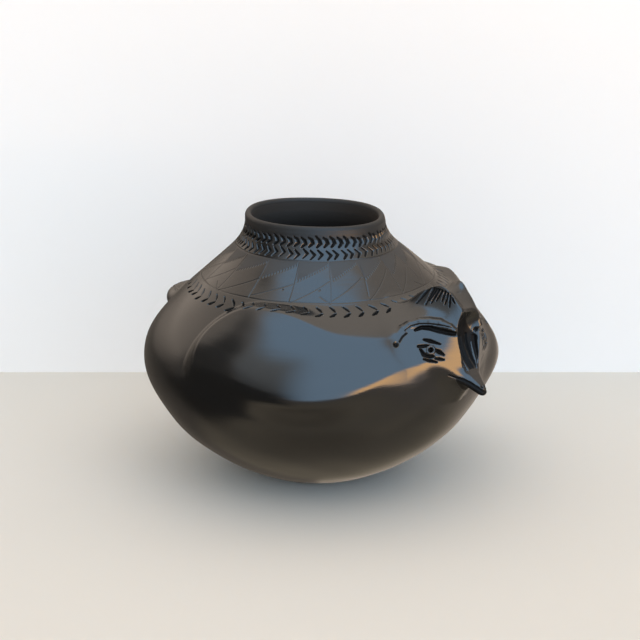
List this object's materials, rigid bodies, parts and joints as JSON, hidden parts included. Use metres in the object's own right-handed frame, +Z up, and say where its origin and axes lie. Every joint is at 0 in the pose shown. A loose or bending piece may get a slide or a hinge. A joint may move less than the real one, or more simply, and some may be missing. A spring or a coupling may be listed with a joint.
{
  "type": "effigy jar",
  "caption": "Round-bellied blackware jar with an upright neck, an owl-like bird's head with tufts and beak on the shoulder, a raised wing on each side and a tail at the back.",
  "frame": {"origin": "centre of the flat foot, on the surface the jar stands on", "axes": "+Z up along the jar's axis; the bird faces -Y, its right side is -X and its tail is at +Y"},
  "size_m": [0.2534, 0.2921, 0.1907],
  "materials": {
    "burnished_wall": "stone-burnished, smoke-fired black, with satin lip and matte incised areas",
    "burnished_relief": "stone-burnished to a high polish, smoke-fired black"
  },
  "bodies": {
    "root": {"base_pan": "burnished_wall", "lower_wall_coil": "burnished_wall", "belly_coil": "burnished_wall", "shoulder_coil": "burnished_wall", "upper_shoulder_coil": "burnished_wall", "neck_base_coil": "burnished_wall", "neck_collar": "burnished_wall", "rim_coil": "burnished_wall", "head_shell": "burnished_relief", "upper_beak": "burnished_relief", "lower_beak": "burnished_relief", "ear_tuft_right": "burnished_relief", "ear_tuft_left": "burnished_relief", "brow_right": "burnished_relief", "brow_left": "burnished_relief", "eye_right": "burnished_relief", "eye_left": "burnished_relief", "wing_right": "burnished_relief", "wing_left": "burnished_relief", "tail": "burnished_relief"}
  },
  "joints": []
}
